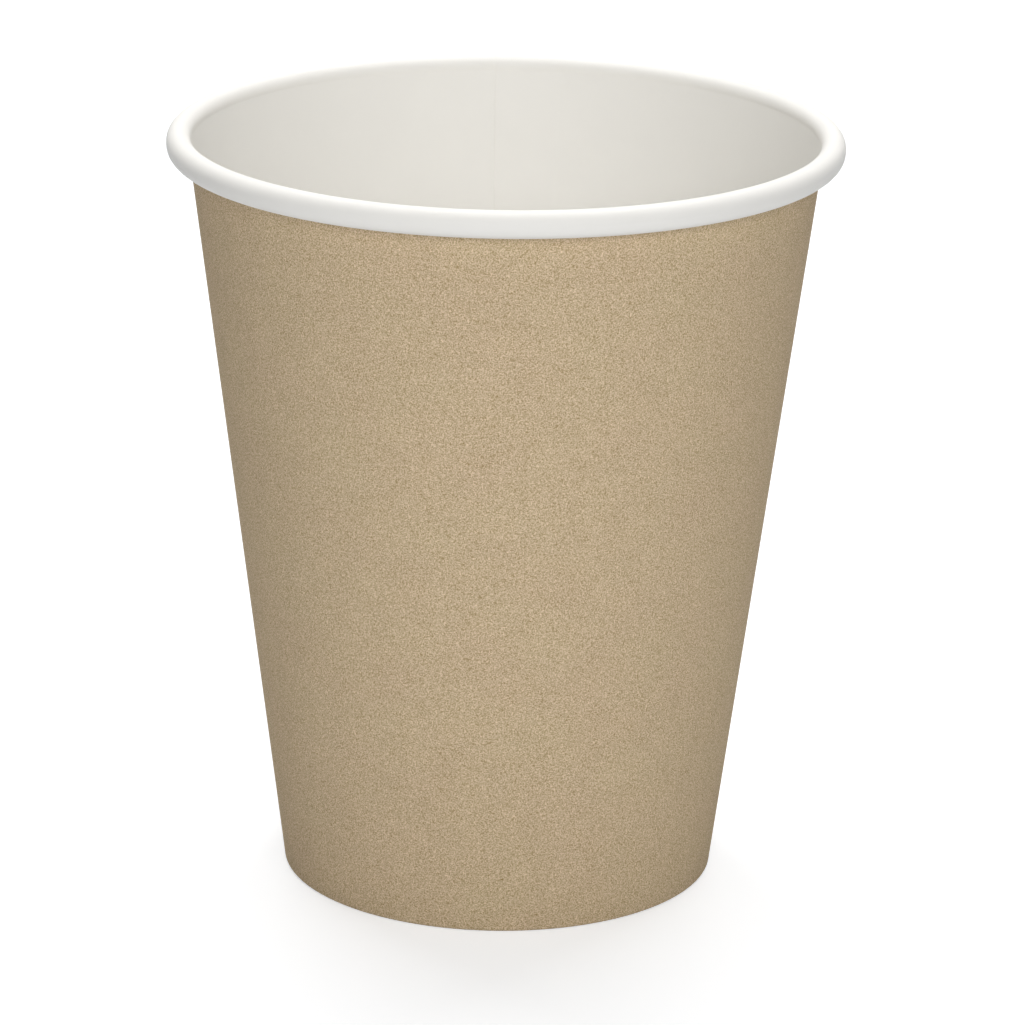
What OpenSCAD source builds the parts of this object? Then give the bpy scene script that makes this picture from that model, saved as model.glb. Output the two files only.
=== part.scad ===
// Single-wall paper coffee cup: one printed board sheet rolled into a cone,
// lapped and sealed up the back, rolled outward into a bead at the mouth and
// hemmed at the foot around the skirt of a dished board disc.
// The axis is Z, the cup stands on the plane Z = 0 and the lap seam is at +Y.

/* [Cup] */
// Diameter across the outside of the rolled rim
top_d = 80; // [72:1:100]
// Diameter of the wall's outer face where it meets the standing plane
base_d = 52; // [44:1:60]
// Height from the standing plane to the top of the rim
cup_h = 91.3; // [60:0.1:140]

/* [Board] */
// Thickness of the side wall's board
wall_board = 0.35; // [0.25:0.01:0.42]
// Thickness of the bottom disc's board
disc_board = 0.3; // [0.2:0.01:0.4]
// Clearance between sealed layers of board
seal = 0.02; // [0.01:0.01:0.05]

/* [Rolled rim] */
// Width of the roll's section
bead_w = 2.9; // [2.6:0.1:3.8]
// Height of the roll's straight outer side, between its top and bottom curves
bead_side = 0.3; // [0.1:0.1:0.8]
// How far the roll stands in past the inner face of the wall
bead_in = 0.05; // [0.05:0.05:0.5]
// Radius of the soft crease where the wall turns into the roll
crease_r = 1; // [0.4:0.1:2]
// How many degrees before its lowest point the roll tightens and tucks in
tuck_before = 15; // [5:1:30]
// How many degrees the tucked end goes on turning
tuck_turn = 200; // [90:5:210]
// Least gap between the tucked end and the lapped wall
tuck_gap = 0.08; // [0.05:0.01:0.12]

/* [Foot] */
// Height of the floor's upper face, at its edge, above the standing plane
floor_z = 7; // [5:0.5:12]
// Radius of the floor's corner, on the upper face
corner_r = 1; // [0.6:0.1:2]
// Slope of the slightly domed floor at its edge, in degrees
dome_slope = 2; // [0.5:0.5:5]
// Radius inside the fold that wraps the skirt's edge
fold_r = 0.05; // [0.03:0.01:0.08]
// Distance from the hem's cut edge up to the disc's corner
hem_short = 0.8; // [0.2:0.1:2]

/* [Lap seam] */
// Angle of the cup's turn that the two ends of the sheet overlap
lap_turn = 10.2; // [8:0.2:16]
// Angle in which the outer end of the sheet climbs onto the inner one, whose
// edge is pressed thin there
climb_turn = 1.4; // [1:0.2:3]
// Share of the board's thickness that the pressed lap adds
lap_share = 0.7; // [0.4:0.05:0.9]

/* [Hidden] */
$fn = 144;

// Steps of the section's curves
ROLL_STEPS = 22;
UNDER_STEPS = 4;
FADE_STEPS = 6;
TUCK_STEPS = 14;
BEND_STEPS = 5;
CORNER_STEPS = 9;
DOME_STEPS = 5;
CLIMB_STEPS = 6;

// An angle to a thousandth of a degree
ANGLE_GRAIN = 0.001;
function to_grain(angle) = round(angle / ANGLE_GRAIN) * ANGLE_GRAIN;

// Where the lap seam's edges lie round the axis
seam_at = 90;
lap_half = to_grain(lap_turn / 2);
lap_from = seam_at - lap_half;
lap_to = seam_at + lap_half;
climb_step = to_grain(climb_turn / CLIMB_STEPS);
climb_to = lap_to + CLIMB_STEPS * climb_step;
lap_rise = lap_share * wall_board;
edge_rise = lap_rise / (CLIMB_STEPS + 1);
// Depths below the coated face at which the lap's second layer is joined on,
// where it is whole and where it has run out
joint_from = 0.5 * wall_board;
joint_to = 0.8 * wall_board;
// How far the cutter of the inner flap's edge stands off the coated face, where
// it cuts and where it has run out
CUT_FROM = 0.02;
CUT_TO = 0.01;
// Stretches over which the second layer runs out: of the roll, in degrees, and
// of the hem
FADE_TURN = 45;
HEM_FADE = 0.6;

// The roll's upper circle, and how far its centre lies outside the wall's inner
// face
roll_r = bead_w / 2;
roll_x = top_d / 2 - roll_r;
roll_z = cup_h - roll_r;
roll_off = roll_r - bead_in;

// Heading of the wall, from horizontal, so that its outer face runs from the
// standing plane at base_d to its place beside the upper circle's centre
roll_far = norm([roll_x - base_d / 2, roll_z]);
wall_at = atan2(roll_z, roll_x - base_d / 2) + asin((roll_off - wall_board) / roll_far);

// Turn of the crease, and the wall's length up to it
crease_turn = acos((crease_r + roll_off) / (crease_r + roll_r));
crease_drop = (crease_r + roll_r) * sin(crease_turn);

// Radius of the tucked end, which clears the wall where that is lapped. It
// follows on from the roll's lower circle.
tuck_at = tuck_before - 90;
tuck_lean = sin(wall_at - tuck_at);
under_off = roll_off + bead_side * cos(wall_at);
tuck_room = under_off + tuck_lean * roll_r - wall_board - lap_rise - tuck_gap;
tuck_r = tuck_room / (1 + tuck_lean);

// Lowest point of the wall's inner face, where the fold begins
wall_foot_z = wall_board + fold_r * (1 - cos(wall_at));
wall_foot_run = (wall_foot_z - wall_board * cos(wall_at)) / sin(wall_at);
wall_foot = ahead(beside([base_d / 2, 0, wall_at], -wall_board), wall_foot_run);
wall_len = along(wall_foot, [roll_x, roll_z]) - crease_drop;

// The fold's flat, which leaves room for the skirt between wall and hem
fold_flat = (disc_board + 2 * seal - 2 * fold_r) / sin(wall_at);

// Centre of the floor's corner, on the line that the skirt's seat sets
skirt_seat = beside(wall_foot, -seal);
corner_seat = beside(skirt_seat, -corner_r);
corner_z = floor_z - corner_r * cos(dome_slope);
corner_at = ahead(corner_seat, (corner_z - corner_seat[1]) / sin(wall_at));
dome_r = corner_r + corner_at[0] / sin(dome_slope);
dome_top = corner_z + corner_r * cos(dome_slope) + dome_r * (1 - cos(dome_slope));

// Lengths of the skirt and of the hem inside it
skirt_end_z = wall_board + fold_r + seal;
skirt_len = (corner_z - corner_r * cos(wall_at) - skirt_end_z) / sin(wall_at);
hem_len = (corner_z - hem_short - wall_foot_z) / sin(wall_at);

// A section is drawn as a walk along the board's coated face. A station of the
// walk is [radius, height, heading, lapped], where lapped runs from 1, where
// the seam's second layer is whole, to 0, where it has run out.

// The station d further on
function ahead(s, d) = [s[0] + d * cos(s[2]), s[1] + d * sin(s[2]), s[2], s[3]];
// The station d to the right of the walk, on the board's printed side
function beside(s, d) = [s[0] + d * sin(s[2]), s[1] - d * cos(s[2]), s[2], s[3]];
// The same station with the second layer whole or run out
function lapped_to(s, lapped) = [s[0], s[1], s[2], lapped];
// How far ahead of station s the point p lies
function along(s, p) = (p[0] - s[0]) * cos(s[2]) + (p[1] - s[1]) * sin(s[2]);
// The stations of a bend of radius r, to the left for a positive turn
function bend(s, r, turn, steps, lapped_end) = [
    for (i = [1:steps])
        let (
            k = sign(turn) * r,
            a = s[2] + turn * i / steps,
            lapped = s[3] + (lapped_end - s[3]) * i / steps
        )
        [s[0] + k * (sin(a) - sin(s[2])), s[1] - k * (cos(a) - cos(s[2])), a, lapped]
];
function last(walk) = walk[len(walk) - 1];

// The side wall's walk: down the hem, through the fold, up the wall, over the
// crease and round the roll to the tucked end
function fold_walk() =
    let (
        flat_end = [
            wall_foot[0] - fold_r * sin(wall_at),
            wall_board,
            0,
            1
        ],
        flat_start = ahead(flat_end, -fold_flat),
        hem_foot = [
            flat_start[0] - fold_r * sin(wall_at),
            wall_board + fold_r * (1 + cos(wall_at)),
            wall_at - 180,
            1
        ],
        hem_full = ahead(hem_foot, HEM_FADE - hem_len),
        hem_top = lapped_to(ahead(hem_foot, -hem_len), 0)
    )
    concat(
        [hem_top, hem_full, hem_foot],
        bend(hem_foot, fold_r, 180 - wall_at, BEND_STEPS, 1),
        [flat_end],
        bend(flat_end, fold_r, wall_at, BEND_STEPS, 1)
    );

function rim_walk(foot) =
    let (
        wall_top = ahead(foot, wall_len),
        crease = bend(wall_top, crease_r, crease_turn, BEND_STEPS, 1),
        over = bend(last(crease), roll_r, -wall_at - crease_turn - 90, ROLL_STEPS, 1),
        side = ahead(last(over), bead_side),
        under = bend(side, roll_r, tuck_at + FADE_TURN, UNDER_STEPS, 1),
        fade = bend(last(under), roll_r, -FADE_TURN, FADE_STEPS, 0),
        tuck = bend(last(fade), tuck_r, -tuck_turn, TUCK_STEPS, 0)
    )
    concat([wall_top], crease, over, [side], under, fade, tuck);

function wall_walk() =
    let (fold = fold_walk())
    concat(fold, rim_walk(last(fold)));

// The disc's walk: out along the domed floor, round its corner, down the skirt
function disc_walk() =
    let (
        centre = [0, dome_top, 0, 0],
        dome = bend(centre, dome_r, -dome_slope, DOME_STEPS, 0),
        corner = bend(last(dome), corner_r, wall_at - 180 + dome_slope, CORNER_STEPS, 0)
    )
    concat([centre], dome, corner, [ahead(last(corner), skirt_len)]);

// Outline beside a walk, from one distance to another, which goes from spent to
// whole with the second layer. Nothing is pressed below the standing plane.
function pressed(s, d) =
    let (p = beside(s, d))
    [p[0], max(p[1], 0)];
function outline(walk, near, spent, whole) = concat(
    [for (s = walk) pressed(s, near)],
    [for (i = [len(walk) - 1:-1:0]) pressed(walk[i], spent + (whole - spent) * walk[i][3])]
);

// A layer beside the side wall's walk, from one angle to another
module layer(from, to, near, spent, whole) {
    rotate_extrude(angle = to - from, start = from)
        polygon(outline(wall_walk(), near, spent, whole));
}

module sidewall() {
    color("#bdaa8d")
        difference() {
            union() {
                // The board, all the way round
                layer(0, 360, 0, wall_board, wall_board);
                // The second layer, from the outer cut edge to the inner flap
                layer(lap_from, lap_to, joint_from, joint_to, wall_board + lap_rise);
                // It climbs in thin steps over the flap's thinned edge
                for (i = [1:CLIMB_STEPS])
                    layer(
                        lap_to - i * climb_step,
                        climb_to - (i - 1) * climb_step,
                        joint_from,
                        joint_to,
                        wall_board + i * edge_rise
                    );
            }
            // The flap's edge ends at the lowest step
            layer(climb_to - climb_step, climb_to, -CUT_FROM, -CUT_TO, edge_rise);
        }
}

module base_disc() {
    color("#e9e6e0")
        rotate_extrude()
            polygon(outline(disc_walk(), 0, disc_board, disc_board));
}

sidewall();
base_disc();
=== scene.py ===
"""Paper coffee cup: one printed board sheet, lapped, rolled and hemmed, round a dished floor.

Run as a script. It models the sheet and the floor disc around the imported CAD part, gives them
their board, print and coating, and lights them on a white studio floor.
"""

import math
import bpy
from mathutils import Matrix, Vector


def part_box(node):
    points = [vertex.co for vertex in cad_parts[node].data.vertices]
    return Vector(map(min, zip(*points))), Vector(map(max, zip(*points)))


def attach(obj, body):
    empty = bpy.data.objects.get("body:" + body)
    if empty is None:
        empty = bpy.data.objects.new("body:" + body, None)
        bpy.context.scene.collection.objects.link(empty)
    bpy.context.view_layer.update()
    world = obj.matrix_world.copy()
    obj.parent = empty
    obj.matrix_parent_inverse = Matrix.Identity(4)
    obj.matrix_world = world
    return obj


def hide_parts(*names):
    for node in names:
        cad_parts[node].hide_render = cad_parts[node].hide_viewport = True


bl_info = {
    "name": "Paper Coffee Cup",
    "version": (1, 0, 0),
    "blender": (4, 5, 0),
    "location": "View3D > Sidebar > Paper Cup",
    "description": "Models a paper cup with a lap seam, a rolled rim and a hemmed foot",
    "category": "Object",
}

import bpy
from mathutils import Matrix, Vector

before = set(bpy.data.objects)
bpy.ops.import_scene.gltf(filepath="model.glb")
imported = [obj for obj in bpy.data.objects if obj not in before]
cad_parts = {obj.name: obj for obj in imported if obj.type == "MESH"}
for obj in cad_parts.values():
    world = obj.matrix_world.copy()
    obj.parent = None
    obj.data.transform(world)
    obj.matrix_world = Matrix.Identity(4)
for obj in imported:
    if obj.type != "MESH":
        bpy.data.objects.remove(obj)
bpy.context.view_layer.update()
_, rim_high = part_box("sidewall")
_, disc_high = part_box("base_disc")

MM = 0.001
FULL_TURN = 2 * math.pi


# Sizes and colours that a user would change


class CupSizes(bpy.types.PropertyGroup):
    """Real sizes of the cup's sheet and floor."""

    foot_diameter: bpy.props.FloatProperty(
        name="Foot diameter",
        description="Diameter of the wall's outer face where it meets the table",
        default=52 * MM,
        unit="LENGTH",
    )
    wall_board: bpy.props.FloatProperty(
        name="Wall board",
        description="Thickness of the side wall's board",
        default=0.35 * MM,
        unit="LENGTH",
    )
    disc_board: bpy.props.FloatProperty(
        name="Floor board",
        description="Thickness of the floor disc's board",
        default=0.3 * MM,
        unit="LENGTH",
    )
    seal: bpy.props.FloatProperty(
        name="Seal",
        description="Clearance between sealed layers of board",
        default=0.02 * MM,
        unit="LENGTH",
    )
    roll_width: bpy.props.FloatProperty(
        name="Roll width",
        description="Width of the rolled rim's section",
        default=2.9 * MM,
        unit="LENGTH",
    )
    roll_side: bpy.props.FloatProperty(
        name="Roll side",
        description="Height of the roll's straight outer side, between its top and bottom curves",
        default=0.3 * MM,
        unit="LENGTH",
    )
    roll_in: bpy.props.FloatProperty(
        name="Roll inset",
        description="How far the roll stands in past the wall's inner face",
        default=0.05 * MM,
        unit="LENGTH",
    )
    crease_radius: bpy.props.FloatProperty(
        name="Crease radius",
        description="Radius of the soft crease where the wall turns into the roll",
        default=1.0 * MM,
        unit="LENGTH",
    )
    tuck_before: bpy.props.FloatProperty(
        name="Tuck start",
        description="Angle before its lowest point at which the roll tightens and tucks in",
        default=math.radians(15),
        subtype="ANGLE",
    )
    tuck_turn: bpy.props.FloatProperty(
        name="Tuck turn",
        description="Angle that the tucked end of the roll goes on turning",
        default=math.radians(200),
        subtype="ANGLE",
    )
    tuck_gap: bpy.props.FloatProperty(
        name="Tuck gap",
        description="Least gap between the tucked end and the lapped wall",
        default=0.08 * MM,
        unit="LENGTH",
    )
    fold_radius: bpy.props.FloatProperty(
        name="Fold radius",
        description="Radius inside the fold at the foot",
        default=0.05 * MM,
        unit="LENGTH",
    )
    hem_short: bpy.props.FloatProperty(
        name="Hem shortfall",
        description="Distance from the hem's cut edge up to the floor's corner",
        default=0.8 * MM,
        unit="LENGTH",
    )
    corner_radius: bpy.props.FloatProperty(
        name="Floor corner radius",
        description="Radius of the floor's corner, on its upper face",
        default=1.0 * MM,
        unit="LENGTH",
    )
    dome_slope: bpy.props.FloatProperty(
        name="Floor slope",
        description="Slope of the slightly domed floor at its edge",
        default=math.radians(2),
        subtype="ANGLE",
    )
    lap_turn: bpy.props.FloatProperty(
        name="Lap",
        description="Angle round the cup in which the lap is two full layers thick",
        default=math.radians(10.2),
        subtype="ANGLE",
    )
    climb_turn: bpy.props.FloatProperty(
        name="Climb",
        description="Angle in which the outer end of the sheet climbs onto the inner one",
        default=math.radians(1.4),
        subtype="ANGLE",
    )
    lap_share: bpy.props.FloatProperty(
        name="Pressed lap",
        description="Share of the board's thickness that the pressed lap adds",
        default=0.7,
        subtype="FACTOR",
    )
    flap_edge: bpy.props.FloatProperty(
        name="Flap edge",
        description="Share of the board's thickness left at the inner flap's pressed edge",
        default=0.1,
        subtype="FACTOR",
    )


class CupColours(bpy.types.PropertyGroup):
    """Colours of the cup's print, coating and bare board, as sRGB hex values."""

    print_mean: bpy.props.StringProperty(
        name="Kraft print",
        description="Mean colour of the brown print, as sRGB hex",
        default="cdb796",
    )
    coating: bpy.props.StringProperty(
        name="Coating",
        description="Colour of the coated white board, as sRGB hex",
        default="f6f4ef",
    )
    bare_board: bpy.props.StringProperty(
        name="Bare board",
        description="Colour of uncoated white board, as sRGB hex",
        default="e9e5dc",
    )
    cut_edge: bpy.props.StringProperty(
        name="Cut edge",
        description="Colour of the board's cut fibres, as sRGB hex",
        default="e3dccd",
    )


class StageSizes(bpy.types.PropertyGroup):
    """The camera's place, and the studio's light."""

    camera_distance: bpy.props.FloatProperty(
        name="Camera distance",
        description="Distance from the cup's axis to the camera, along the floor",
        default=606.7 * MM,
        unit="LENGTH",
    )
    camera_height: bpy.props.FloatProperty(
        name="Camera height",
        description="Height of the camera above the floor",
        default=238.9 * MM,
        unit="LENGTH",
    )
    camera_turn: bpy.props.FloatProperty(
        name="Camera turn",
        description="Angle round the cup from straight opposite the lap seam",
        default=math.radians(4.1),
        subtype="ANGLE",
    )
    camera_pan: bpy.props.FloatProperty(
        name="Camera pan",
        description="Angle by which the view is panned off the cup's axis",
        default=-math.radians(0.127),
        subtype="ANGLE",
    )
    camera_pitch: bpy.props.FloatProperty(
        name="Camera pitch",
        description="Angle by which the camera looks down",
        default=math.radians(17.829),
        subtype="ANGLE",
    )
    camera_roll: bpy.props.FloatProperty(
        name="Camera roll",
        description="Angle by which the camera is rolled",
        default=math.radians(0.789),
        subtype="ANGLE",
    )
    lens: bpy.props.FloatProperty(
        name="Lens",
        description="Focal length for a sensor 36 mm wide",
        default=185.755,
        unit="CAMERA",
    )
    room_light: bpy.props.FloatProperty(
        name="Room light",
        description="Strength of the even light from all round",
        default=0.09,
    )
    low_light: bpy.props.FloatProperty(
        name="Low front light",
        description="Power of the soft lamp low in front of the cup",
        default=2.6,
        unit="POWER",
    )
    front_light: bpy.props.FloatProperty(
        name="Front light",
        description="Power of the soft lamp above it",
        default=3.65,
        unit="POWER",
    )
    right_light: bpy.props.FloatProperty(
        name="Right light",
        description="Power of the soft lamp to the camera's right",
        default=2.1,
        unit="POWER",
    )
    back_left_light: bpy.props.FloatProperty(
        name="Back left light",
        description="Power of the soft lamp high behind the cup, to the left",
        default=6.8,
        unit="POWER",
    )
    back_right_light: bpy.props.FloatProperty(
        name="Back right light",
        description="Power of the soft lamp high behind the cup, to the right",
        default=6.0,
        unit="POWER",
    )
    top_light: bpy.props.FloatProperty(
        name="Top light",
        description="Power of the soft lamp above the cup",
        default=3.2,
        unit="POWER",
    )
    under_light: bpy.props.FloatProperty(
        name="Under light",
        description="Power of the soft lamp under the floor's opening, for the underside alone",
        default=6.0,
        unit="POWER",
    )


# Small tools for meshes

# Angle between faces up to which their shared edge is smooth
SMOOTH_ANGLE = math.radians(40)


class Walk:
    """A walk in the XZ plane along the board's coated face, drawn in edit mode by extruding and
    spinning the last vertex."""

    def __init__(self, name, point, heading):
        self.point = Vector(point)
        self.heading = heading
        bpy.ops.object.select_all(action="DESELECT")
        bpy.ops.mesh.primitive_plane_add(size=MM, location=(0, 0, 0))
        self.piece = bpy.context.object
        self.piece.name = name
        self.piece.data.name = name
        bpy.ops.object.mode_set(mode="EDIT")
        bpy.ops.mesh.select_mode(type="VERT")
        bpy.ops.mesh.select_all(action="SELECT")
        bpy.ops.mesh.merge(type="CENTER")
        bpy.ops.transform.translate(value=(point[0], 0, point[1]))

    def ahead(self, length, steps=1):
        """Goes straight on."""
        step = Vector((math.cos(self.heading), math.sin(self.heading))) * (length / steps)
        for _ in range(steps):
            bpy.ops.mesh.extrude_region_move(TRANSFORM_OT_translate={"value": (step.x, 0, step.y)})
            self.point = self.point + step

    def bend(self, radius, turn, steps):
        """Turns to the left for a positive turn, about a centre at that radius."""
        side = math.copysign(radius, turn)
        centre = self.point + self.left() * side
        bpy.ops.mesh.spin(steps=steps, angle=turn, center=(centre.x, 0, centre.y), axis=(0, 1, 0))
        self.heading += turn
        self.point = centre - self.left() * side

    def left(self):
        """The direction to the left of the walk."""
        return Vector((-math.sin(self.heading), math.cos(self.heading)))


def ordered(mesh):
    """Indices of a wire's vertices from its first one to its last."""
    near = {v.index: [] for v in mesh.vertices}
    for edge in mesh.edges:
        a, b = edge.vertices
        near[a].append(b)
        near[b].append(a)
    order = [min(i for i, others in near.items() if len(others) == 1)]
    while len(order) < len(near):
        order.append(next(i for i in near[order[-1]] if i not in order[-2:-1]))
    return order


def spin_round(angle, steps):
    """Spins what is selected about the cup's axis."""
    bpy.ops.mesh.spin(steps=steps, angle=angle, center=(0, 0, 0), axis=(0, 0, 1))


def face_along(piece, direction):
    """Flips the faces where, taken together, they look against the direction for their places."""
    looking = sum(
        face.normal.dot(direction(face.center)) * face.area for face in piece.data.polygons
    )
    if looking < 0:
        bpy.ops.object.mode_set(mode="EDIT")
        bpy.ops.mesh.select_all(action="SELECT")
        bpy.ops.mesh.flip_normals()
        bpy.ops.object.mode_set(mode="OBJECT")


def make_board(piece, thickness, materials, shares=""):
    """Thickens the coated face into smooth board. Its far face and its cut edges take the second
    and the third material, and a vertex group named by shares thins it."""
    board = piece.modifiers.new("board", "SOLIDIFY")
    board.thickness = thickness
    board.vertex_group = shares
    board.offset = -1
    board.use_even_offset = True
    board.material_offset = 1
    board.material_offset_rim = 2
    for material in materials:
        piece.data.materials.append(material)
    bpy.ops.object.select_all(action="DESELECT")
    piece.select_set(True)
    bpy.context.view_layer.objects.active = piece
    bpy.ops.object.modifier_apply(modifier=board.name)
    bpy.ops.object.shade_smooth_by_angle(angle=SMOOTH_ANGLE)


def ease(x):
    """0 below 0, 1 above 1 and smooth between them."""
    x = min(max(x, 0), 1)
    return x * x * (3 - 2 * x)


def hump(x):
    """1 at 0, falling smoothly to 0 at -1 and at 1."""
    return ease(1 - abs(x))


# Measures that the cup's pieces share

# Share of the climb in which the inner flap's edge is thinned
THIN_SHARE = 5 / 6


class Measures:
    """Places in the cup's section, worked out from its sizes and from the frame."""

    def __init__(self, sizes):
        self.board = sizes.wall_board
        # The roll's upper circle, and how far its centre lies outside the wall's coated face
        self.roll = sizes.roll_width / 2
        roll_x = rim_high.x - self.roll
        roll_z = rim_high.z - self.roll
        roll_off = self.roll - sizes.roll_in
        # The wall runs from the foot's edge to its place beside that centre
        foot = sizes.foot_diameter / 2
        reach = math.hypot(roll_x - foot, roll_z)
        self.wall = math.atan2(roll_z, roll_x - foot) + math.asin((roll_off - self.board) / reach)
        self.sin = math.sin(self.wall)
        self.cos = math.cos(self.wall)
        foot_z = self.board + sizes.fold_radius * (1 - self.cos)
        run = (foot_z - self.board * self.cos) / self.sin
        self.foot_x = foot - self.board * self.sin + run * self.cos
        # The crease leads from the wall into that circle
        crease = sizes.crease_radius
        self.crease_turn = math.acos((crease + roll_off) / (crease + self.roll))
        crease_drop = (crease + self.roll) * math.sin(self.crease_turn)
        along = (roll_x - self.foot_x) * self.cos + (roll_z - foot_z) * self.sin
        self.wall_length = along - crease_drop
        # The tucked end clears the wall where that is lapped
        self.tuck_at = sizes.tuck_before - math.pi / 2
        tuck_lean = math.sin(self.wall - self.tuck_at)
        lapped = self.board * (1 + sizes.lap_share)
        under_off = roll_off + sizes.roll_side * self.cos
        room = under_off + tuck_lean * self.roll - lapped - sizes.tuck_gap
        self.tuck_radius = room / (1 + tuck_lean)
        if self.tuck_radius <= 0:
            raise ValueError("The roll is too narrow for its tucked end")
        # Turns at the seam: the inner flap's thinned edge, the outer end's way up to it, and
        # all that overlaps
        self.thin = sizes.climb_turn * THIN_SHARE
        self.approach = sizes.climb_turn - self.thin
        self.overlap = self.thin + sizes.lap_turn
        # The floor's corner lies beside the wall. The frame gives the top of the dome, and the
        # dome's slope gives how far the corner lies below it
        corner = sizes.corner_radius
        seat_off = sizes.seal + corner
        seat_x = self.foot_x - seat_off * self.sin
        seat_z = foot_z + seat_off * self.cos
        lean = self.cos / self.sin
        fall = math.tan(sizes.dome_slope / 2)
        edge_drop = corner * (math.cos(sizes.dome_slope) + fall * math.sin(sizes.dome_slope))
        corner_x = (seat_x + (disc_high.z - edge_drop - seat_z) * lean) / (1 + fall * lean)
        corner_z = disc_high.z - edge_drop - fall * corner_x
        self.dome = corner + corner_x / math.sin(sizes.dome_slope)
        # The skirt ends in the fold, and the hem stands inside it
        skirt_end = self.board + sizes.fold_radius + sizes.seal
        self.skirt_length = (corner_z - corner * self.cos - skirt_end) / self.sin
        self.fold_flat = (sizes.disc_board + 2 * sizes.seal - 2 * sizes.fold_radius) / self.sin
        self.hem_length = (corner_z - sizes.hem_short - foot_z) / self.sin


# Colours and materials

COATED = "polyethylene_coated_white_board"
PRINTED = "flexo_printed_kraft_board"
CUT = "cut_edge_of_white_board"
PRESSED = "pressed_bare_white_board"


def linear(hex_colour):
    """Linear RGBA of an sRGB hex value."""

    def channel(c):
        return c / 12.92 if c <= 0.04045 else ((c + 0.055) / 1.055) ** 2.4

    values = [int(hex_colour[i : i + 2], 16) / 255 for i in (0, 2, 4)]
    return (*[channel(v) for v in values], 1)


def add(tree, kind, settings=None, links=None):
    """Adds a node. settings sets its properties and sockets by name, and links joins its sockets
    to other outputs."""
    node = tree.nodes.new(kind)
    for name, value in (settings or {}).items():
        if isinstance(name, int) or name in node.inputs:
            node.inputs[name].default_value = value
        else:
            setattr(node, name, value)
    for name, output in (links or {}).items():
        tree.links.new(output, node.inputs[name])
    return node


def new_material(name):
    """A material with an empty tree, and its output node."""
    material = bpy.data.materials.new(name)
    material.use_nodes = True
    tree = material.node_tree
    tree.nodes.clear()
    return material, tree, add(tree, "ShaderNodeOutputMaterial")


def shared(name, make, *settings):
    """The material of that name, which is made for the first piece that needs it."""
    return bpy.data.materials.get(name) or make(name, *settings)


# Each pattern of the print: its size, and the detail and roughness of its noise
SPECKS = (0.15 * MM, 0.5, 0.5)
CLOUDS = (3.5 * MM, 2.0, 0.55)
DRIFT = (8 * MM, 1.0, 0.5)
# How strong the specks are, and the light that they add or take
SPECK = 0.82
SPECK_TINT = "fff2e6"
# Ribs that the crimping wheel leaves in a full turn
RIBS = 132
# A Mix node's sockets for colours, by place: its sockets for numbers have the same names
MIX_FACTOR, MIX_A, MIX_B, MIX_RESULT = 0, 6, 7, 2


def kraft_print(name, colours):
    """Brown kraft pattern, printed by flexography on bleached cup board. The water-based ink is
    matt, and its fine light and dark specks give the eye the look of brown paper. The real
    ones go down to a few hundredths of a millimetre. They are drawn 0.15 mm across, a little
    over one pixel of the render, as coarse as they need to be to show."""
    material, tree, output = new_material(name)
    place = add(tree, "ShaderNodeTexCoord").outputs["Object"]
    specks, clouds, drift = [
        add(
            tree,
            "ShaderNodeTexNoise",
            {"Scale": 1 / size, "Detail": detail, "Roughness": roughness},
            {"Vector": place},
        ).outputs["Fac"]
        for size, detail, roughness in (SPECKS, CLOUDS, DRIFT)
    ]
    # The drift turns the brown a little pinker here and more olive there
    hue = add(
        tree,
        "ShaderNodeMapRange",
        {"clamp": False, "To Min": 0.495, "To Max": 0.505},
        {"Value": drift},
    ).outputs["Result"]
    tone = add(
        tree,
        "ShaderNodeMapRange",
        {"clamp": False, "To Min": 0.94, "To Max": 1.06},
        {"Value": clouds},
    ).outputs["Result"]
    ink = add(
        tree,
        "ShaderNodeHueSaturation",
        {"Color": linear(colours.print_mean)},
        {"Hue": hue, "Value": tone},
    ).outputs["Color"]
    # The specks are added light, nearly the same in each colour
    speck = add(
        tree,
        "ShaderNodeMapRange",
        {"clamp": False, "To Min": -SPECK / 2, "To Max": SPECK / 2},
        {"Value": specks},
    ).outputs["Result"]
    paper = add(
        tree,
        "ShaderNodeMix",
        {
            "data_type": "RGBA",
            "blend_type": "ADD",
            "clamp_factor": False,
            MIX_B: linear(SPECK_TINT),
        },
        {MIX_FACTOR: speck, MIX_A: ink},
    ).outputs[MIX_RESULT]
    # Ribs that the crimping wheel pressed into the hem, which the sheet's attribute marks
    apart = add(tree, "ShaderNodeSeparateXYZ", {}, {"Vector": place})
    turn = add(
        tree,
        "ShaderNodeMath",
        {"operation": "ARCTAN2"},
        {0: apart.outputs["Y"], 1: apart.outputs["X"]},
    ).outputs["Value"]
    ribs = add(tree, "ShaderNodeMath", {"operation": "MULTIPLY", 1: RIBS}, {0: turn})
    wave = add(tree, "ShaderNodeMath", {"operation": "SINE"}, {0: ribs.outputs["Value"]})
    hem = add(tree, "ShaderNodeAttribute", {"attribute_name": "hem"}).outputs["Fac"]
    pressed = add(
        tree,
        "ShaderNodeMath",
        {"operation": "MULTIPLY"},
        {0: wave.outputs["Value"], 1: hem},
    ).outputs["Value"]
    crimp = add(
        tree,
        "ShaderNodeBump",
        {"Strength": 1.0, "Distance": 0.07 * MM},
        {"Height": pressed},
    ).outputs["Normal"]
    relief = add(
        tree,
        "ShaderNodeBump",
        {"Strength": 0.3, "Distance": 0.02 * MM},
        {"Height": specks, "Normal": crimp},
    ).outputs["Normal"]
    shader = add(
        tree,
        "ShaderNodeBsdfPrincipled",
        {"Roughness": 0.8, "IOR": 1.48, "Specular IOR Level": 0.05},
        {"Base Color": paper, "Normal": relief},
    )
    tree.links.new(shader.outputs["BSDF"], output.inputs["Surface"])
    return material


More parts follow.
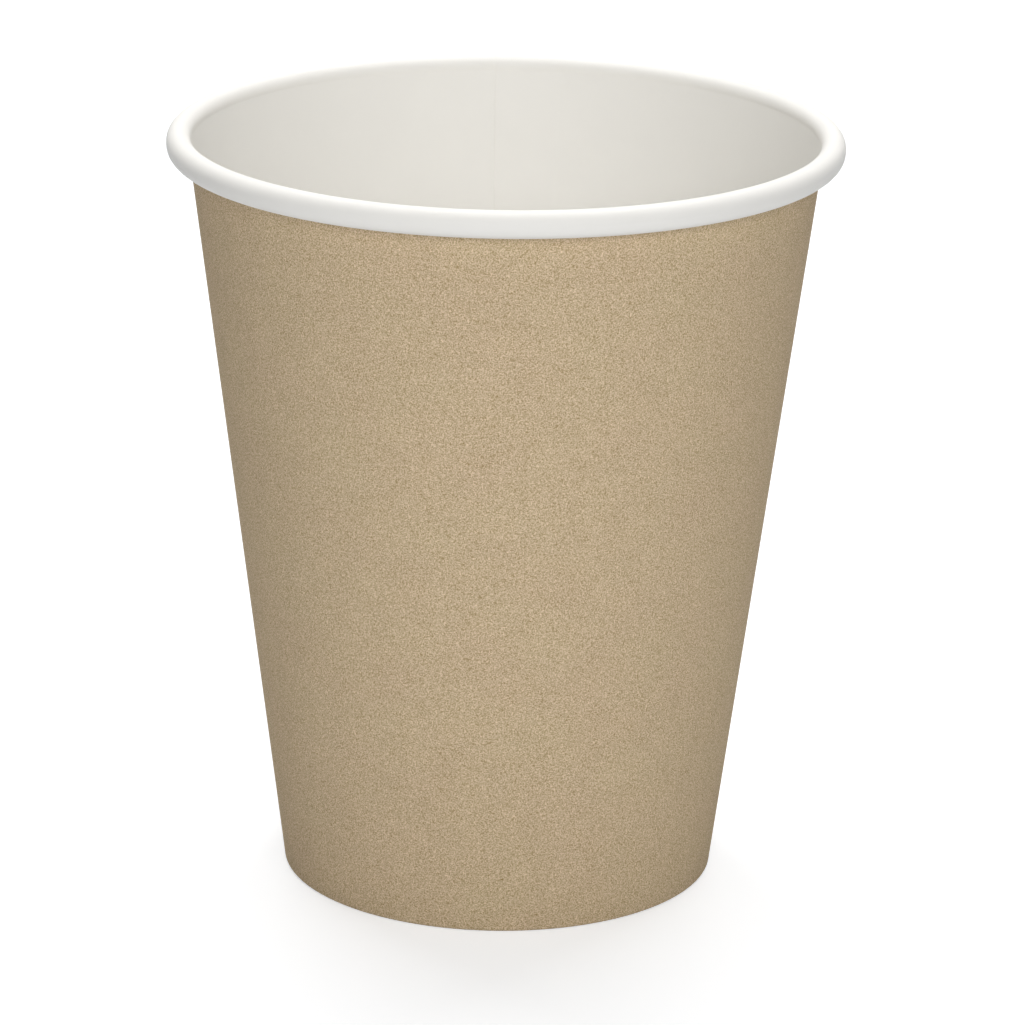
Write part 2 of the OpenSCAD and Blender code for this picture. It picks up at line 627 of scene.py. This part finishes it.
def coated_board(name, colours):
    """Bleached board under a thin extruded polyethylene film. The film gives a soft sheen, and
    the board's felt marks under it, about a millimetre apart, a very faint unevenness."""
    material, tree, output = new_material(name)
    place = add(tree, "ShaderNodeTexCoord").outputs["Object"]
    felt = add(
        tree,
        "ShaderNodeTexNoise",
        {"Scale": 1 / (1.1 * MM), "Detail": 3.0, "Roughness": 0.55},
        {"Vector": place},
    ).outputs["Fac"]
    clouds = add(
        tree,
        "ShaderNodeTexNoise",
        {"Scale": 1 / (6 * MM), "Detail": 2.0, "Roughness": 0.5},
        {"Vector": place},
    ).outputs["Fac"]
    shade = add(
        tree,
        "ShaderNodeMapRange",
        {"clamp": False, "To Min": 0.99, "To Max": 1.01},
        {"Value": clouds},
    ).outputs["Result"]
    tone = add(
        tree,
        "ShaderNodeHueSaturation",
        {"Color": linear(colours.coating)},
        {"Value": shade},
    ).outputs["Color"]
    relief = add(
        tree,
        "ShaderNodeBump",
        {"Strength": 0.15, "Distance": 0.03 * MM},
        {"Height": felt},
    ).outputs["Normal"]
    shader = add(
        tree,
        "ShaderNodeBsdfPrincipled",
        {"Roughness": 0.55, "IOR": 1.51, "Specular IOR Level": 0.15},
        {"Base Color": tone, "Normal": relief},
    )
    tree.links.new(shader.outputs["BSDF"], output.inputs["Surface"])
    return material


# Size of the fibres and strength of their relief, on a pressed face and on a cut edge
PRESSED_FIBRE, PRESSED_RELIEF = 0.4 * MM, 0.3
CUT_FIBRE, CUT_RELIEF = 0.15 * MM, 0.5


def bare_board(name, colour, fibre, strength):
    """Uncoated bleached board, as pressed or as cut: matt, with short fibres that break up the
    light."""
    material, tree, output = new_material(name)
    place = add(tree, "ShaderNodeTexCoord").outputs["Object"]
    fibres = add(
        tree,
        "ShaderNodeTexNoise",
        {"Scale": 1 / fibre, "Detail": 4.0, "Roughness": 0.6},
        {"Vector": place},
    ).outputs["Fac"]
    shade = add(
        tree,
        "ShaderNodeMapRange",
        {"clamp": False, "To Min": 0.92, "To Max": 1.08},
        {"Value": fibres},
    ).outputs["Result"]
    tone = add(
        tree,
        "ShaderNodeHueSaturation",
        {"Color": linear(colour)},
        {"Value": shade},
    ).outputs["Color"]
    relief = add(
        tree,
        "ShaderNodeBump",
        {"Strength": strength, "Distance": 0.05 * MM},
        {"Height": fibres},
    ).outputs["Normal"]
    shader = add(
        tree,
        "ShaderNodeBsdfPrincipled",
        {"Roughness": 0.85, "IOR": 1.47, "Specular IOR Level": 0.2},
        {"Base Color": tone, "Normal": relief},
    )
    tree.links.new(shader.outputs["BSDF"], output.inputs["Surface"])
    return material


def seen_directly(tree):
    """1 for light that goes straight to the camera, or by way of a reflection or through glass."""
    path = add(tree, "ShaderNodeLightPath")
    shiny = add(
        tree,
        "ShaderNodeMath",
        {"operation": "MAXIMUM"},
        {0: path.outputs["Is Camera Ray"], 1: path.outputs["Is Glossy Ray"]},
    ).outputs["Value"]
    return add(
        tree,
        "ShaderNodeMath",
        {"operation": "MAXIMUM"},
        {0: shiny, 1: path.outputs["Is Transmission Ray"]},
    ).outputs["Value"]


FLOOR_COLOUR = "d2d4d7"
# Strength of the light that lifts the floor to white, for the camera alone
FLOOR_LIFT = 0.53


def studio_floor(name):
    """Matt white studio floor. For the camera it is lifted to white, and it keeps the cup's
    shadow. Seen from below it isn't there."""
    material, tree, output = new_material(name)
    seen = seen_directly(tree)
    matt = add(tree, "ShaderNodeBsdfDiffuse", {"Color": linear(FLOOR_COLOUR)})
    lift = add(tree, "ShaderNodeMath", {"operation": "MULTIPLY", 1: FLOOR_LIFT}, {0: seen})
    glow = add(tree, "ShaderNodeEmission", {}, {"Strength": lift.outputs["Value"]})
    both = add(
        tree,
        "ShaderNodeAddShader",
        {},
        {0: matt.outputs["BSDF"], 1: glow.outputs["Emission"]},
    ).outputs["Shader"]
    side = add(tree, "ShaderNodeNewGeometry").outputs["Backfacing"]
    clear = add(tree, "ShaderNodeBsdfTransparent").outputs["BSDF"]
    shown = add(tree, "ShaderNodeMixShader", {}, {0: side, 1: both, 2: clear})
    tree.links.new(shown.outputs["Shader"], output.inputs["Surface"])
    return material


# The pieces

# Steps of the sheet's section, in the order of the walk. NECK is the wall's last stretch
HEM_STEPS = 6
FOLD_STEPS = 6
WALL_STEPS = 24
NECK_STEPS = 10
CREASE_STEPS = 6
OVER_STEPS = 44
SIDE_STEPS = 2
UNDER_STEPS = 18
TUCK_STEPS = 22
NECK = 2.5 * MM
# Stations of the walk at which the fold and the wall end
FOLD_END = HEM_STEPS + FOLD_STEPS + 1 + FOLD_STEPS
WALL_END = FOLD_END + WALL_STEPS + NECK_STEPS
# Rings of the spin, in the order of its stretches
THIN_RINGS = 5
LAP_RINGS = 10
RELEASE_RINGS = 5
BODY_RINGS = 178
CLIMB_RINGS = 2
# Turn in which the pressed flap gets its whole thickness, past the outer cut edge
RELEASE_TURN = math.radians(1.5)
# Gap between the two layers of the seam
TOUCH_GAP = 0.012 * MM
# How the doubled wall bulges inward, and how it is pinched beside the seam, under the roll
BULGE = 0.05 * MM
BULGE_FADE = 4 * MM
PINCH = 0.1 * MM
PINCH_HEIGHT = 0.2 * MM
PINCH_REACH = 0.9 * MM
PINCH_TURN = math.radians(1.2)
PINCH_WIDTH = math.radians(2.2)


class PAPERCUP_OT_sheet(bpy.types.Operator):
    """Models the side wall's sheet: hem, fold, cone, lap seam and rolled rim"""

    bl_idname = "papercup.sheet"
    bl_label = "Side wall sheet"

    def execute(self, context):
        sizes = context.scene.papercup_sizes
        colours = context.scene.papercup_colours
        m = Measures(sizes)
        piece = self.draw_walk(sizes, m)
        mesh = piece.data
        order = ordered(mesh)
        walk = [Vector((mesh.vertices[i].co.x, mesh.vertices[i].co.z)) for i in order]
        station = mesh.attributes.new("station", "INT", "POINT")
        for k, i in enumerate(order):
            station.data[i].value = k
        turns = self.revolve(sizes, m)
        if len(mesh.vertices) != len(walk) * len(turns):
            raise RuntimeError("The sheet's section wasn't spun as its rings need")
        self.shape_seam(piece, sizes, m, walk, turns)
        piece.rotation_euler.z = math.pi / 2 + sizes.lap_turn / 2 + m.thin
        bpy.ops.object.transform_apply(rotation=True)
        face_along(piece, lambda place: -Vector((place.x, place.y, 0)).normalized())
        materials = (
            shared(COATED, coated_board, colours),
            shared(PRINTED, kraft_print, colours),
            shared(CUT, bare_board, colours.cut_edge, CUT_FIBRE, CUT_RELIEF),
        )
        make_board(piece, m.board, materials, "board")
        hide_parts("sidewall")
        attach(piece, "root")
        return {"FINISHED"}

    def draw_walk(self, sizes, m):
        """Draws the sheet's section: down the hem, through the fold, up the wall and round the
        roll."""
        fold = sizes.fold_radius
        hem_foot = Vector(
            (
                m.foot_x - 2 * fold * m.sin - m.fold_flat,
                m.board + fold * (1 + m.cos),
            )
        )
        up = Vector((m.cos, m.sin))
        walk = Walk("cup_sheet", hem_foot + up * m.hem_length, m.wall - math.pi)
        walk.ahead(m.hem_length, HEM_STEPS)
        walk.bend(fold, math.pi - m.wall, FOLD_STEPS)
        walk.ahead(m.fold_flat)
        walk.bend(fold, m.wall, FOLD_STEPS)
        walk.ahead(m.wall_length - NECK, WALL_STEPS)
        walk.ahead(NECK, NECK_STEPS)
        walk.bend(sizes.crease_radius, m.crease_turn, CREASE_STEPS)
        walk.bend(m.roll, -m.wall - m.crease_turn - math.pi / 2, OVER_STEPS)
        walk.ahead(sizes.roll_side, SIDE_STEPS)
        walk.bend(m.roll, m.tuck_at, UNDER_STEPS)
        walk.bend(m.tuck_radius, -sizes.tuck_turn, TUCK_STEPS)
        bpy.ops.object.mode_set(mode="OBJECT")
        return walk.piece

    def revolve(self, sizes, m):
        """Spins the section from the inner flap's cut edge round to the outer one, and gives
        each ring's turn."""
        around = FULL_TURN - m.overlap - RELEASE_TURN - m.approach
        stretches = (
            (m.thin, THIN_RINGS),
            (sizes.lap_turn, LAP_RINGS),
            (RELEASE_TURN, RELEASE_RINGS),
            (around, BODY_RINGS),
            (m.approach, CLIMB_RINGS),
            (m.thin, THIN_RINGS),
            (sizes.lap_turn, LAP_RINGS),
        )
        bpy.ops.object.mode_set(mode="EDIT")
        bpy.ops.mesh.select_all(action="SELECT")
        turns = [0.0]
        for angle, steps in stretches:
            spin_round(angle, steps)
            turns += [turns[-1] + angle / steps * (1 + i) for i in range(steps)]
        bpy.ops.object.mode_set(mode="OBJECT")
        return turns

    def shape_seam(self, piece, sizes, m, walk, turns):
        """Lays the outer end of the sheet over the inner flap, and gives each vertex its share
        of the board's thickness."""
        mesh = piece.data
        last = len(walk) - 1
        rights = []
        for k in range(len(walk)):
            t = (walk[min(k + 1, last)] - walk[max(k - 1, 0)]).normalized()
            rights.append(Vector((t.y, -t.x)))
        station = [d.value for d in mesh.attributes["station"].data]
        hem = mesh.attributes.new("hem", "FLOAT", "POINT")
        for mark, k in zip(hem.data, station):
            mark.value = 1.0 if k <= HEM_STEPS else 0.0
        shares = []
        for vertex in mesh.vertices:
            k = station[vertex.index]
            turn = turns[vertex.index // len(walk)]
            rise, share = self.layer(sizes, m, turn)
            shares.append(share)
            if k > FOLD_END:
                height = vertex.co.z
                rise = self.pressed(rise, m, turn, height, walk[FOLD_END].y, walk[WALL_END].y)
            shift = rights[k] * rise
            # Nothing at the fold goes below the table
            if HEM_STEPS <= k <= FOLD_END:
                shift.y = max(shift.y, 0)
                if turn < m.overlap:
                    shift.y += TOUCH_GAP
            azimuth = math.atan2(vertex.co.y, vertex.co.x)
            vertex.co.x += shift.x * math.cos(azimuth)
            vertex.co.y += shift.x * math.sin(azimuth)
            vertex.co.z += shift.y
        thickness = piece.vertex_groups.new(name="board")
        for i, share in enumerate(shares):
            thickness.add([i], share, "REPLACE")

    def layer(self, sizes, m, turn):
        """How far the sheet rises off the cone at a turn, and its share of thickness there."""
        if turn >= FULL_TURN:
            return self.flap_share(sizes, m, turn - FULL_TURN) * m.board + TOUCH_GAP, 1
        edge = sizes.flap_edge * m.board + TOUCH_GAP
        climbed = ease((turn - (FULL_TURN - m.approach)) / m.approach)
        return edge * climbed, self.flap_share(sizes, m, turn)

    def flap_share(self, sizes, m, turn):
        """Share of its full thickness that the inner flap has at a turn from its cut edge."""
        thinned = ease(turn / m.thin)
        released = ease((turn - m.overlap) / RELEASE_TURN)
        flap = sizes.flap_edge + (sizes.lap_share - sizes.flap_edge) * thinned
        return flap + (1 - sizes.lap_share) * released

    def pressed(self, rise, m, turn, height, bottom, top):
        """That rise where the doubled wall stands a little inward between its bottom and top,
        and is pinched beside the seam under the roll."""
        place = turn % FULL_TURN
        low = ease((height - bottom) / BULGE_FADE)
        high = ease((top - height) / BULGE_FADE)
        rise -= BULGE * low * high * (1 - ease((place - m.overlap) / RELEASE_TURN))
        up = hump((height - top - PINCH_HEIGHT) / PINCH_REACH)
        beside = max(
            hump((place - m.overlap - PINCH_TURN) / PINCH_WIDTH),
            hump((FULL_TURN - place - PINCH_TURN) / PINCH_WIDTH),
        )
        return rise + PINCH * up * beside


# Steps of the floor's section, in the order of the walk, and rings of its spin
DOME_STEPS = 16
CORNER_STEPS = 12
SKIRT_STEPS = 3
FLOOR_RINGS = 180
# Distance within which the spin's first and last ring are joined
JOIN = 0.001 * MM


class PAPERCUP_OT_floor(bpy.types.Operator):
    """Models the dished floor disc with its skirt"""

    bl_idname = "papercup.floor"
    bl_label = "Floor disc"

    def execute(self, context):
        sizes = context.scene.papercup_sizes
        colours = context.scene.papercup_colours
        m = Measures(sizes)
        walk = Walk("cup_floor", (0, disc_high.z), 0)
        walk.bend(m.dome, -sizes.dome_slope, DOME_STEPS)
        walk.bend(sizes.corner_radius, m.wall - math.pi + sizes.dome_slope, CORNER_STEPS)
        walk.ahead(m.skirt_length, SKIRT_STEPS)
        bpy.ops.mesh.select_all(action="SELECT")
        spin_round(FULL_TURN, FLOOR_RINGS)
        bpy.ops.mesh.select_all(action="SELECT")
        bpy.ops.mesh.remove_doubles(threshold=JOIN)
        bpy.ops.mesh.normals_make_consistent(inside=False)
        bpy.ops.object.mode_set(mode="OBJECT")
        piece = walk.piece
        face_along(piece, lambda place: Vector((0, 0, 1)))
        materials = (
            shared(COATED, coated_board, colours),
            shared(PRESSED, bare_board, colours.bare_board, PRESSED_FIBRE, PRESSED_RELIEF),
            shared(CUT, bare_board, colours.cut_edge, CUT_FIBRE, CUT_RELIEF),
        )
        make_board(piece, sizes.disc_board, materials)
        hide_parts("base_disc")
        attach(piece, "root")
        return {"FINISHED"}


# The stage

SENSOR_MM = 36
CLIP_START = 0.05
CLIP_END = 20
# Each lamp's name, the setting that holds its power, its side in metres, and in degrees its turn
# round the cup from the camera and its angle up
LAMPS = (
    ("low_lamp", "low_light", 0.4, 0, 12),
    ("front_lamp", "front_light", 0.4, 0, 25),
    ("right_lamp", "right_light", 0.4, 20, 30),
    ("back_left_lamp", "back_left_light", 0.6, -150, 60),
    ("back_right_lamp", "back_right_light", 0.6, 150, 60),
    ("top_lamp", "top_light", 0.6, 0, 85),
    ("under_lamp", "under_light", 0.6, 0, -80),
)
# Distance of each lamp from the middle of the foot
LAMP_DISTANCE = 1.3
FLOOR_SIDES = 96
FLOOR_RADIUS = 0.9
FLOOR_OPENING = 25.5 * MM
FLOOR_DROP = 0.03 * MM


class PAPERCUP_OT_stage(bpy.types.Operator):
    """Adds the camera, the soft lamps and the white floor"""

    bl_idname = "papercup.stage"
    bl_label = "Camera, light and floor"

    def execute(self, context):
        stage = context.scene.papercup_stage
        self.add_camera(context, stage)
        self.add_room_light(context, stage)
        for lamp in LAMPS:
            self.add_lamp(context, stage, *lamp)
        self.add_floor(context)
        context.scene.view_settings.view_transform = "Standard"
        return {"FINISHED"}

    def add_camera(self, context, stage):
        """The camera at the photo's viewing angle."""
        data = bpy.data.cameras.new("camera")
        data.sensor_width = SENSOR_MM
        data.lens = stage.lens
        data.clip_start = CLIP_START
        data.clip_end = CLIP_END
        camera = bpy.data.objects.new("camera", data)
        context.collection.objects.link(camera)
        around = Matrix.Rotation(stage.camera_turn, 4, "Z")
        place = Matrix.Translation((0, -stage.camera_distance, stage.camera_height))
        pan = Matrix.Rotation(stage.camera_pan, 4, "Z")
        pitch = Matrix.Rotation(math.pi / 2 - stage.camera_pitch, 4, "X")
        roll = Matrix.Rotation(stage.camera_roll, 4, "Z")
        camera.matrix_world = around @ place @ pan @ pitch @ roll
        context.scene.camera = camera

    def add_room_light(self, context, stage):
        """Even white light from all round, which the camera sees as white."""
        world = bpy.data.worlds.new("studio")
        world.use_nodes = True
        tree = world.node_tree
        tree.nodes.clear()
        output = add(tree, "ShaderNodeOutputWorld")
        strength = add(
            tree,
            "ShaderNodeMapRange",
            {"To Min": stage.room_light, "To Max": 1.0},
            {"Value": seen_directly(tree)},
        ).outputs["Result"]
        light = add(
            tree, "ShaderNodeBackground", {"Color": linear("ffffff")}, {"Strength": strength}
        )
        tree.links.new(light.outputs["Background"], output.inputs["Surface"])
        context.scene.world = world

    def add_lamp(self, context, stage, name, power, size, turn, angle_up):
        """A square soft lamp that faces the cup's middle."""
        data = bpy.data.lights.new(name, "AREA")
        data.energy = getattr(stage, power)
        data.size = size
        lamp = bpy.data.objects.new(name, data)
        context.collection.objects.link(lamp)
        out = Vector((0, -LAMP_DISTANCE, 0))
        out.rotate(Matrix.Rotation(-math.radians(angle_up), 3, "X"))
        out.rotate(Matrix.Rotation(stage.camera_turn + math.radians(turn), 3, "Z"))
        lamp.location = out
        aim = Vector((0, 0, rim_high.z / 2)) - out
        lamp.rotation_euler = aim.to_track_quat("-Z", "Y").to_euler()
        lamp.visible_camera = False

    def add_floor(self, context):
        """A round floor, a hair under the foot. Inside the standing ring it is open, so that
        the underside shows and is lit from below."""
        bpy.ops.object.select_all(action="DESELECT")
        bpy.ops.mesh.primitive_circle_add(
            vertices=FLOOR_SIDES,
            radius=FLOOR_RADIUS,
            fill_type="NGON",
            location=(0, 0, -FLOOR_DROP),
        )
        floor = context.object
        floor.name = "studio_floor"
        bpy.ops.object.mode_set(mode="EDIT")
        bpy.ops.mesh.select_all(action="SELECT")
        bpy.ops.mesh.inset(thickness=FLOOR_RADIUS - FLOOR_OPENING)
        bpy.ops.mesh.delete(type="FACE")
        bpy.ops.object.mode_set(mode="OBJECT")
        floor.data.materials.append(shared("matt_white_studio_floor", studio_floor))


OPERATORS = (PAPERCUP_OT_sheet, PAPERCUP_OT_floor, PAPERCUP_OT_stage)
GROUPS = (
    (CupSizes, "papercup_sizes"),
    (CupColours, "papercup_colours"),
    (StageSizes, "papercup_stage"),
)


class PAPERCUP_PT_panel(bpy.types.Panel):
    """Lists the cup's sizes, colours and pieces"""

    bl_idname = "PAPERCUP_PT_panel"
    bl_label = "Paper Coffee Cup"
    bl_space_type = "VIEW_3D"
    bl_region_type = "UI"
    bl_category = "Paper Cup"

    def draw(self, context):
        for group, name in GROUPS:
            box = self.layout.box()
            for setting in group.__annotations__:
                box.prop(getattr(context.scene, name), setting)
        for operator in OPERATORS:
            self.layout.operator(operator.bl_idname)


def register():
    for group, name in GROUPS:
        bpy.utils.register_class(group)
        setattr(bpy.types.Scene, name, bpy.props.PointerProperty(type=group))
    for operator in OPERATORS:
        bpy.utils.register_class(operator)
    bpy.utils.register_class(PAPERCUP_PT_panel)


def unregister():
    bpy.utils.unregister_class(PAPERCUP_PT_panel)
    for operator in reversed(OPERATORS):
        bpy.utils.unregister_class(operator)
    for group, name in reversed(GROUPS):
        delattr(bpy.types.Scene, name)
        bpy.utils.unregister_class(group)


def main():
    register()
    bpy.ops.papercup.stage()
    bpy.ops.papercup.sheet()
    bpy.ops.papercup.floor()


if __name__ == "__main__":
    main()
